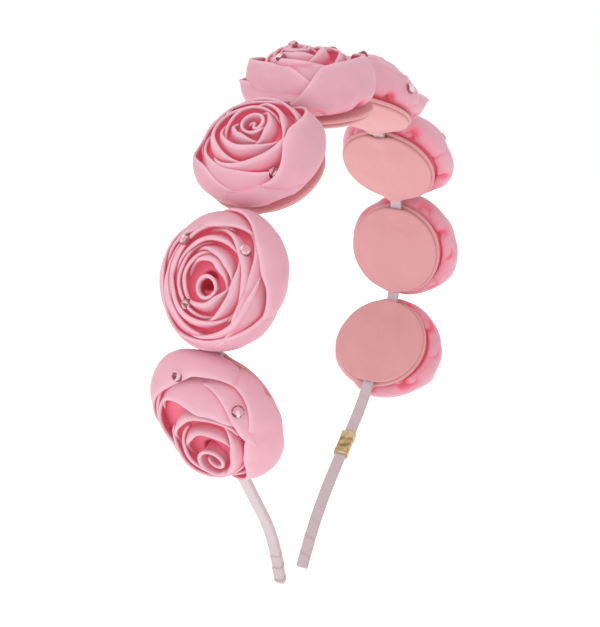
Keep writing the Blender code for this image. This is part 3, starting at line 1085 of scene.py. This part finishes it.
def make_petal(name, look, centre, petal, phase):
    """A fold inside the rose: it leans in over the last one, and its middle is pulled a little open."""
    path = arc_path(petal, centre)
    rim_r = petal.rim_r

    def carrier(u):
        crown = 1 - (2 * u - 1) ** 2
        angle = path(u)[2]
        pulled = petal.flare * np.exp(-((u - 0.45) / 0.24) ** 2)
        oval = 0.05 * rim_r * np.cos(2 * angle) + 0.16 * np.sin(3 * angle + phase)
        rim = rim_r - 0.7 * (1 - crown) ** 1.5 + pulled + oval
        level = petal.rim_h - 0.4 * (1 - crown) - 0.25 * pulled
        return ((rim_r + 0.2 * crown, level - 6.0), (rim_r + 2.2, level - 4.2),
                (rim_r + 2.1 + 0.5 * pulled, level - 0.75 - 0.5 * pulled), (rim, level))

    def top(u):
        return 1 - petal.early * (1 - smooth(0.0, 0.42, u)) - petal.late * smooth(0.58, 1.0, u)

    return make_fold(name, PETAL_STEPS, path, carrier, top, look, lip=0.1, phase=phase,
                     shade=(0.15, 1.8, 1.0), length=PETAL_LENGTH, slant=0.2)


# A broad outer petal: the first six values of a petal, how far below its rim it turns in, how much
# wider it is than its place asks for, the size of a pulled corner, and where along the rim that comes.
Shell = namedtuple("Shell", "azimuth span rim_r rim_h early late rise wider corner corner_at",
                   defaults=(0.0, 0.0, 0.5))
SHELL_FOOT = 13.3


def make_shell(name, look, centre, shell, phase, reach):
    """A broad outer petal that climbs from the base disc round the rose's side to its folded rim."""
    path = arc_path(shell, centre)
    radius = reach + shell.wider
    tuck = 1.0 + 0.55 * max(0.0, radius - 14.6)

    def carrier(u):
        crown = 1 - (2 * u - 1) ** 2
        angle = path(u)[2]
        side = radius - tuck * (1 - crown) ** 2 + 0.35 * np.sin(3 * angle + phase)
        rim = shell.rim_r - 0.4 * (1 - crown) + 0.35 * np.sin(2 * angle + phase * 1.7)
        level = shell.rim_h - 0.4 * (1 - crown)
        total = (8 * (side - 0.15) - SHELL_FOOT - rim) / 3
        point = shell.corner * np.exp(-(np.abs(u - shell.corner_at) / 0.11) ** 1.4)
        return ((SHELL_FOOT, FLOOR), (total / 2 + 1.2, FLOOR + 0.1),
                (total / 2 - 1.2 + 0.8 * point, level - shell.rise + 0.1 * point),
                (rim + 2.4 * point, level + 0.35 * point))

    def top(u):
        return 1 - shell.early * (1 - smooth(0.0, 0.45, u)) - shell.late * smooth(0.55, 1.0, u)

    return make_fold(name, SHELL_STEPS, path, carrier, top, look, lip=0.45, phase=phase,
                     shade=(0.15, 3.2, 0.90), length=SHELL_LENGTH, slant=math.radians(22),
                     pleat=PLEATS)


def make_body(centre, height, dome):
    """The gathered cloth under the folds: a closed dome a little below their rims, with a well in it."""
    item, u, v = grid("body", 48, 28)
    rings = [(0.0, height - WELL_DEPTH), (1.3, height - WELL_DEPTH),
             (2.2, height - BODY_BELOW), (4.0, height - 2.9)]
    rings += [(r, dome_height(r, height, dome) - BODY_BELOW) for r in (6.0, 8.0, 10.0, 11.5, 12.8)]
    rings += [(13.2, 5.0), (12.6, FLOOR), (6.0, FLOOR), (0.0, FLOOR)]
    rings = np.array(rings)
    steps = np.linspace(0, 1, len(rings))
    radius, level = np.interp(v, steps, rings[:, 0]), np.interp(v, steps, rings[:, 1])
    angle = u * 2 * math.pi
    shift = np.clip(1 - radius / 13, 0, 1) * (level > FLOOR + 0.1)
    x = radius * np.cos(angle) + centre[0] * shift
    y = radius * np.sin(angle) + centre[1] * shift
    set_points(item, np.stack([x, y, level], axis=1))
    # Painted shade all over the body, and deeper painted shadow down the heart's well.
    point_values(item, "depth", np.where((radius < 2.2) & (level > 6), 1.8, 1.0))
    close_tube(item, weld=ROSE_WELD)
    return item


def dome_height(radius, height, dome):
    """The height of a rose's round top at a radius, flatter in the middle as dome grows."""
    return FLOOR + (height - FLOOR) * (1 - np.clip(radius / 17.0, 0, 1) ** dome) ** 0.5


def spiral_petals(count, first, height, dome, random, high, low):
    """The inner folds of a rose, each a little lower and further out than the last."""
    petals, azimuth = [], first
    for index in range(count):
        part = index / (count - 1)
        rim_r = low + (high - low) * part ** 1.1 + random.uniform(-0.38, 0.38) * (0 < index < count - 1)
        rim_h = dome_height(rim_r, height, dome) + 0.3 + random.uniform(-0.2, 0.2)
        petals.append(Petal(azimuth, random.uniform(160, 225), rim_r, rim_h,
                            0.30 + 0.30 * random.random(), 0.40 + 0.30 * random.random(),
                            random.uniform(0.0, 1.5) * (0.6 + 0.4 * part)))
        azimuth += SPIRAL_TURN + random.uniform(-24, 24)
    return petals


OUTER_FOLDS = (
    (20.0, 175.0, 11.6, 12.3, 0.22, 0.40, 0.6),
    (130.0, 170.0, 11.4, 12.1, 0.26, 0.42, 0.6),
    (245.0, 170.0, 11.5, 12.0, 0.24, 0.40, 0.6),
    (300.0, 150.0, 13.4, 9.4, 0.30, 0.45, 0.4, 0.9, 1.0, 0.45),
    (80.0, 150.0, 13.3, 10.6, 0.30, 0.45, 0.4),
    (190.0, 155.0, 13.4, 10.4, 0.30, 0.45, 0.4),
)

# Each rose's own plan: its kind of heart, the centres of its petals and of its heart, how round its top
# is, where the first petal faces, its stretch along and across the band, more or fewer petals than a
# full rose, the radii of the first and last petals, how much taller it is, its shift along and across
# the band, and its outer petals from the inside out.
ROSE_PLANS = {
    1: {"heart": "comma", "centre": (-4.6, -2.2), "eye": (-5.6, -3.0), "dome": 1.9, "first": 20.0,
        "reach": (1.06, 1.03), "extra": -7, "low": 4.8, "high": 8.2, "shift": (0.0, -0.5),
        "outer": ((-14.0, 165.0, 7.6, 13.3, 0.34, 0.42, 0.6, 0.0, 0.5, 0.40),
                  (128.0, 165.0, 10.2, 11.6, 0.34, 0.40, 0.6),
                  (-64.0, 120.0, 10.4, 12.2, 0.40, 0.34, 0.6),
                  (185.0, 150.0, 12.0, 11.0, 0.25, 0.35, 0.6),
                  (110.0, 150.0, 12.6, 9.6, 0.30, 0.35, 0.5),
                  (165.0, 120.0, 13.8, 8.6, 0.3, 0.4, 0.3, 0.8),
                  (28.0, 160.0, 13.2, 9.0, 0.25, 0.30, 0.3, 1.6, 0.7, 0.36),
                  (-104.0, 150.0, 10.7, 11.5, 0.36, 0.42, 0.6, 0.3))},
    2: {"heart": "hole", "centre": (-1.0, 0.0), "eye": (-2.4, -0.9), "dome": 2.5, "first": -20.0,
        "reach": (1.07, 0.95), "extra": -1, "shift": (0.0, -1.4),
        "outer": ((125.0, 175.0, 10.8, 12.4, 0.25, 0.42, 0.6),
                  (-108.0, 160.0, 10.4, 12.6, 0.42, 0.30, 0.6),
                  (15.0, 175.0, 11.6, 12.0, 0.30, 0.38, 0.5),
                  (190.0, 140.0, 13.4, 10.2, 0.30, 0.42, 0.4),
                  (105.0, 150.0, 13.4, 10.4, 0.30, 0.42, 0.4),
                  (-66.0, 140.0, 12.8, 11.2, 0.40, 0.40, 0.4, 0.2, 0.5, 0.3))},
    3: {"heart": "double", "centre": (0.6, -0.2), "eye": (0.8, -0.6), "dome": 2.0, "first": 150.0,
        "reach": (0.99, 0.97), "extra": -4, "low": 3.5, "shift": (0.0, 0.9),
        "outer": ((20.0, 175.0, 11.2, 12.0, 0.25, 0.40, 0.6),
                  (165.0, 175.0, 11.4, 10.6, 0.26, 0.34, 0.5),
                  (120.0, 150.0, 13.2, 9.0, 0.30, 0.42, 0.4, 0.3, 1.0, 0.5),
                  (200.0, 150.0, 13.8, 8.0, 0.30, 0.40, 0.3),
                  (-90.0, 145.0, 9.9, 12.6, 0.42, 0.50, 0.7))},
    4: {"heart": "ruffle", "centre": (-0.4, 2.2), "eye": (-0.6, 2.6), "dome": 1.7, "first": 60.0,
        "reach": (1.02, 1.0), "extra": -5, "shift": (0.0, 2.3), "taller": 1.3,
        "outer": ((10.0, 175.0, 8.2, 13.6, 0.22, 0.40, 0.8),
                  (205.0, 170.0, 8.4, 13.0, 0.26, 0.42, 0.6),
                  (-40.0, 165.0, 10.4, 12.2, 0.40, 0.35, 0.6),
                  (165.0, 150.0, 10.0, 12.8, 0.05, 0.72, 0.6, 0.0, 1.9, 0.14),
                  (160.0, 125.0, 13.6, 8.0, 0.05, 0.45, 0.4, 1.2, 1.7, 0.16),
                  (62.0, 120.0, 13.2, 9.4, 0.30, 0.30, 0.4),
                  (240.0, 165.0, 10.8, 13.2, 0.74, 0.10, 0.9, 1.1, 1.2, 0.90))},
    5: {"heart": "ruffle", "centre": (0.0, 0.0), "dome": 1.7, "first": 200.0, "reach": (1.0, 0.97),
        "extra": -4, "taller": 0.8,
        "outer": ((60.0, 175.0, 8.8, 13.4, 0.22, 0.40, 0.8),
                  (190.0, 170.0, 9.4, 12.8, 0.26, 0.42, 0.8),
                  (-60.0, 165.0, 9.8, 12.4, 0.50, 0.30, 0.7),
                  (-70.0, 100.0, 13.8, 7.4, 0.35, 0.20, 0.3, 0.3, 2.0, 0.52),
                  (-140.0, 150.0, 12.6, 9.8, 0.20, 0.55, 0.4),
                  (105.0, 150.0, 12.9, 9.6, 0.30, 0.45, 0.4))},
    6: {"heart": "hole", "centre": (0.0, 0.0), "dome": 2.2, "first": 10.0, "reach": (1.0, 1.06),
        "extra": -4, "shift": (0.0, -1.1)},
    7: {"heart": "comma", "centre": (0.0, 0.0), "dome": 2.2, "first": 130.0, "reach": (1.0, 1.06),
        "extra": -4, "low": 5.0, "shift": (0.0, -1.1)},
    8: {"heart": "double", "centre": (0.0, 0.0), "dome": 2.2, "first": 250.0, "reach": (1.0, 1.08),
        "extra": -4, "shift": (0.0, -1.1)},
}
# The radius of the first petal, and how far the last one reaches past the innermost outer petal.
LOW_PETAL = 3.9
HIGH_PETAL = 0.6


def paint_crowding_shade(rose):
    """Adds painted shade between crowded folds to the painted shade that each fold already has."""
    depth = rose.data.attributes["depth"]
    values = np.empty(len(rose.data.vertices))
    depth.data.foreach_get("value", values)
    shut = smooth(0.22, 0.85, crowding(rose, CROWDING_REACH))
    values += CROWDING_SHADE * shut * np.clip(1.2 - values, 0, 1)
    depth.data.foreach_set("value", values.astype(np.float32))


def make_rose(number, look, material):
    """One rose by its plan: the body, the heart, the petals and the outer petals, joined."""
    plan = ROSE_PLANS[number]
    centre, dome = plan["centre"], plan["dome"]
    height = look.height / MM + plan.get("taller", 0.0)
    outer = [Shell(*row) for row in plan.get("outer", OUTER_FOLDS)]
    high = plan.get("high", min(shell.rim_r for shell in outer) + HIGH_PETAL)
    petals = spiral_petals(look.petals + plan.get("extra", 0), plan["first"], height, dome,
                           np.random.RandomState(40 + number), high, plan.get("low", LOW_PETAL))
    pieces = [make_body(centre, height, dome),
              make_heart(plan["heart"], look, plan.get("eye", centre), height, number * 0.9)]
    for index, petal in enumerate(petals):
        share = 1 - (petal.rim_r - 3.0) / 10.5
        shifted = (centre[0] * share, centre[1] * share)
        pieces.append(make_petal(f"petal_{index}", look, shifted, petal, index * 1.3 + number))
    for index, shell in enumerate(outer):
        share = 0.12 * max(0.0, (14.0 - shell.rim_r) / 3.0)
        shifted = (centre[0] * share, centre[1] * share)
        reach = look.radius / MM - 2.4 * (1 - index / (len(outer) - 1))
        pieces.append(make_shell(f"shell_{index}", look, shifted, shell, index * 2.1 + number, reach))
    rose = join(f"rose_{number}_satin", pieces)
    paint_crowding_shade(rose)
    subdivide(rose)
    along, across = plan["reach"]
    place_in(rose, Matrix.Diagonal((along * MM, across * MM, MM, 1)))
    place_in(rose, Matrix.Translation(Vector((*plan.get("shift", (0.0, 0.0)), 0.0)) * MM))
    place_in(rose, flower_seat(number))
    rose.data.materials.clear()
    rose.data.materials.append(material)
    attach(rose, BODY_OF[f"rose_{number}"])
    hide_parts(f"rose_{number}")
    return rose


class CROWN_OT_core(bpy.types.Operator):
    """Gives the sprung steel band inside the ribbon its finish"""
    bl_idname = "crown.core"
    bl_label = "Steel Band"

    def execute(self, context):
        steel = steel_material("Spring steel")
        for name, item in frame["nodes"].items():
            if name.startswith("band_"):
                for slot in item.material_slots:
                    slot.material = steel
        return {"FINISHED"}


class CROWN_OT_roses(bpy.types.Operator):
    """Rolls eight satin roses on their seats"""
    bl_idname = "crown.roses"
    bl_label = "Satin Roses"

    def execute(self, context):
        look = context.scene.crown_roses
        material = satin_material("Pink satin", look)
        for number in FLOWERS:
            make_rose(number, look, material)
        return {"FINISHED"}


# ---------------------------------------------------------------- stage

FLOOR_GAP = 0.2 * MM
# Each lamp's name, place, size in metres and power in watts. Both shine at the crown's middle.
LIGHTS = (("Key light", (-0.40, -0.05, 0.50), 0.40, 0.85),
          ("Fill light", (-0.55, 0.22, 0.20), 0.50, 0.22))
LIGHT_TARGET = (0.0, 0.0, -0.07)


class CrownStageSettings(bpy.types.PropertyGroup):
    azimuth: FloatProperty(name="Azimuth", description="Camera turn about the crown, in degrees",
                           default=-66.55)
    elevation: FloatProperty(name="Elevation", description="Camera height angle, in degrees",
                             default=9.82)
    roll: FloatProperty(name="Roll", description="Camera roll, in degrees", default=5.84)
    distance: FloatProperty(name="Distance", description="Camera distance from its target",
                            default=0.3311, unit="LENGTH")
    lens: FloatProperty(name="Lens", description="Focal length in millimetres", default=72.88)
    target: FloatVectorProperty(name="Target", description="Point that the camera looks at",
                                subtype="XYZ", default=(-0.02657, -0.00581, -0.0556), precision=5)


def add_camera(stage):
    azimuth, elevation = math.radians(stage.azimuth), math.radians(stage.elevation)
    roll = math.radians(stage.roll)
    back = Vector((math.sin(azimuth) * math.cos(elevation), -math.cos(azimuth) * math.cos(elevation),
                   math.sin(elevation)))
    right = Vector((math.cos(azimuth), math.sin(azimuth), 0.0))
    up = back.cross(right)
    rolled_right = right * math.cos(roll) + up * math.sin(roll)
    rolled_up = up * math.cos(roll) - right * math.sin(roll)
    data = bpy.data.cameras.new("Camera")
    data.lens = stage.lens
    data.sensor_width = 36.0
    data.clip_start = 0.01
    camera = bpy.data.objects.new("Camera", data)
    bpy.context.collection.objects.link(camera)
    turn = Matrix((rolled_right, rolled_up, back)).transposed().to_4x4()
    camera.matrix_world = Matrix.Translation(Vector(stage.target) + back * stage.distance) @ turn
    bpy.context.scene.camera = camera


def add_light(name, place, target, size, power):
    data = bpy.data.lights.new(name, "AREA")
    data.shape = "DISK"
    data.size = size
    data.energy = power
    light = bpy.data.objects.new(name, data)
    bpy.context.collection.objects.link(light)
    light.location = place
    light.rotation_euler = (Vector(target) - Vector(place)).to_track_quat("-Z", "Y").to_euler()


def add_floor():
    """A pale floor that glows a little, just under the crown."""
    low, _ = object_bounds()
    bpy.ops.object.select_all(action="DESELECT")
    bpy.ops.mesh.primitive_plane_add(size=6.0, location=(0, 0, low[2] - FLOOR_GAP))
    floor = bpy.context.object
    floor.name = "floor"
    material, _, shader = new_material("Pale floor", 0.9, Emission_Strength=0.52)
    shader.inputs["Base Color"].default_value = (0.86, 0.86, 0.86, 1)
    shader.inputs["Emission Color"].default_value = (1, 1, 1, 1)
    floor.data.materials.append(material)
    floor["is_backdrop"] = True


def add_world(scene):
    """Soft light from all sides, a little weaker on the crown than the backdrop looks."""
    world = scene.world or bpy.data.worlds.new("World")
    scene.world = world
    world.use_nodes = True
    tree = world.node_tree
    backdrop = tree.nodes["Background"]
    backdrop.inputs["Color"].default_value = (1, 1, 1, 1)
    rays = node(tree, "ShaderNodeLightPath")
    strength = node(tree, "ShaderNodeMapRange", {"To Min": 0.80, "To Max": 1.0})
    tree.links.new(rays.outputs["Is Camera Ray"], strength.inputs["Value"])
    tree.links.new(strength.outputs["Result"], backdrop.inputs["Strength"])


class CROWN_OT_stage(bpy.types.Operator):
    """Adds the pale floor, the soft lights and the camera"""
    bl_idname = "crown.stage"
    bl_label = "Stage"

    def execute(self, context):
        add_camera(context.scene.crown_stage)
        add_floor()
        add_world(context.scene)
        context.scene.view_settings.view_transform = "Standard"
        for name, place, size, power in LIGHTS:
            add_light(name, place, LIGHT_TARGET, size, power)
        return {"FINISHED"}


# ---------------------------------------------------------------- panel and registration

class CROWN_PT_panel(bpy.types.Panel):
    """Lists the crown's steps"""
    bl_label = "Flower Crown"
    bl_idname = "CROWN_PT_panel"
    bl_space_type = "VIEW_3D"
    bl_region_type = "UI"
    bl_category = "Flower Crown"

    def draw(self, context):
        for step in STEPS:
            self.layout.operator(step.bl_idname)


STEPS = (CROWN_OT_stage, CROWN_OT_core, CROWN_OT_ribbon, CROWN_OT_felt, CROWN_OT_tag, CROWN_OT_roses,
         CROWN_OT_crystals)
GROUPS = (("crown_stage", CrownStageSettings), ("crown_ribbon", CrownRibbonSettings),
          ("crown_felt", CrownFeltSettings), ("crown_tag", CrownTagSettings),
          ("crown_roses", CrownRoseSettings), ("crown_crystals", CrownCrystalSettings))


def register():
    for name, group in GROUPS:
        bpy.utils.register_class(group)
        setattr(bpy.types.Scene, name, PointerProperty(type=group))
    for step in STEPS:
        bpy.utils.register_class(step)
    bpy.utils.register_class(CROWN_PT_panel)


def unregister():
    bpy.utils.unregister_class(CROWN_PT_panel)
    for step in reversed(STEPS):
        bpy.utils.unregister_class(step)
    for name, group in reversed(GROUPS):
        delattr(bpy.types.Scene, name)
        bpy.utils.unregister_class(group)


def main():
    register()
    bpy.ops.crown.stage()
    bpy.ops.crown.core()
    bpy.ops.crown.ribbon()
    bpy.ops.crown.felt()
    bpy.ops.crown.tag()
    bpy.ops.crown.roses()
    bpy.ops.crown.crystals()


if __name__ == "__main__":
    main()
